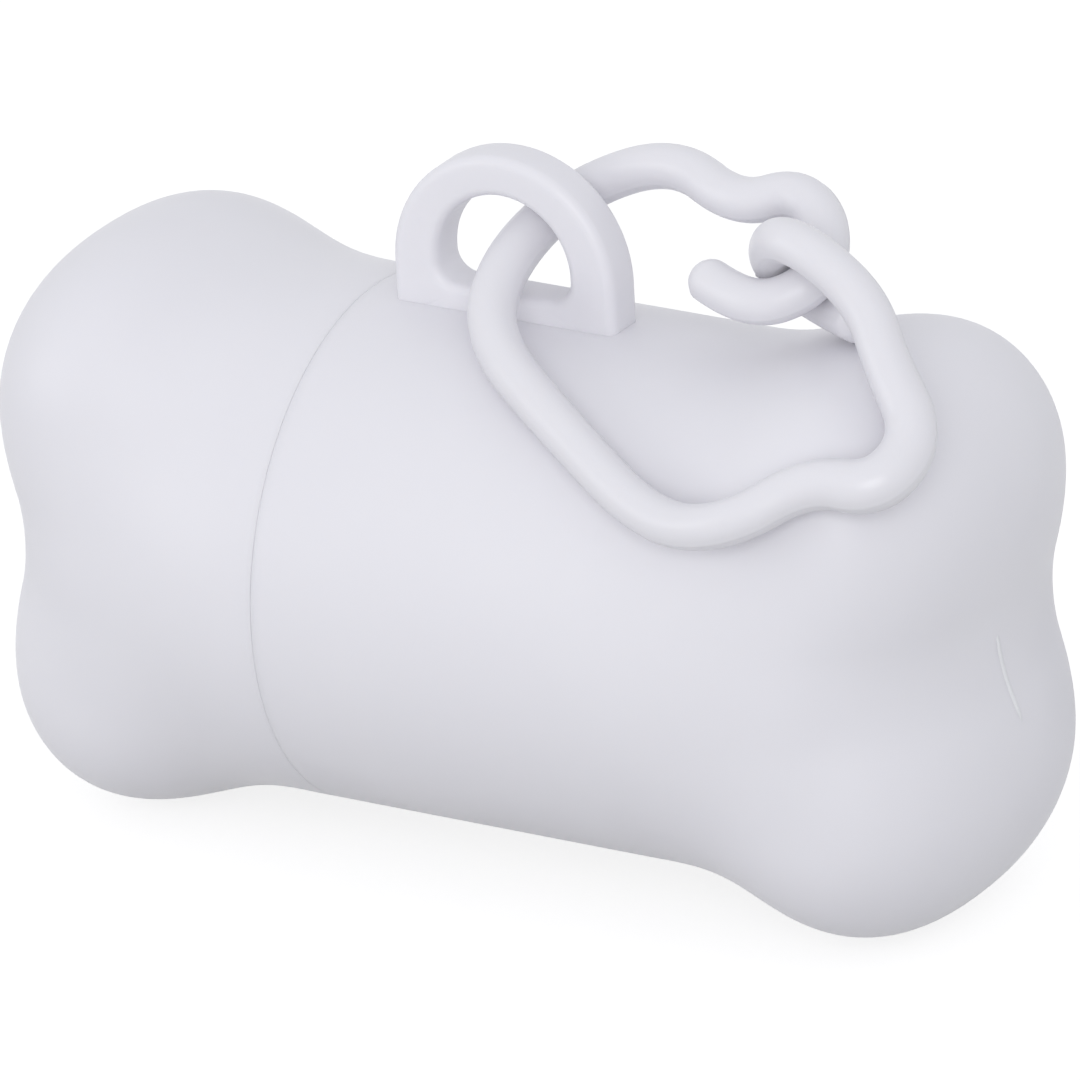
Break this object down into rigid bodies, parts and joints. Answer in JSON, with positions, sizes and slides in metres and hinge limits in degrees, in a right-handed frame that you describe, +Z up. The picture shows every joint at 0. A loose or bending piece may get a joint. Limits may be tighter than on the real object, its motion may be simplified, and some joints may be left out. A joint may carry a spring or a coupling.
{
  "type": "pet waste bag dispenser",
  "caption": "Bone-shaped plastic dispenser with a screw-on end cap, a moulded ring, a hooked clip through it and a roll of bags inside.",
  "frame": {"origin": "on the surface that the bone lies on, under its middle", "axes": "+X along the bone from the cap to the closed end, +Z up through the ring, +Y towards the dispensing slot"},
  "size_m": [0.0824, 0.0406, 0.0555],
  "materials": {
    "shell": "white, satin",
    "clip": "white, satin",
    "core": "plain card",
    "bags": "thin film, wound tight"
  },
  "bodies": {
    "body": {"body": "shell"},
    "cap": {"end_cap": "shell"},
    "clip": {"clip": "clip"},
    "roll": {"roll_core": "core", "bag_roll": "bags"}
  },
  "joints": [
    {"name": "cap_slide", "type": "slide", "parent": "body", "child": "cap", "axis": [-1, 0, 0], "range_m": [0, 0.05]},
    {"name": "clip_swing", "type": "hinge", "parent": "body", "child": "clip", "pos_m": [0.0009, 0, 0.04852], "axis": [0, -1, 0], "range_deg": [0, 165]},
    {"name": "roll_turn", "type": "hinge", "parent": "body", "child": "roll", "pos_m": [0, 0, 0.02062], "axis": [1, 0, 0], "continuous": true}
  ]
}
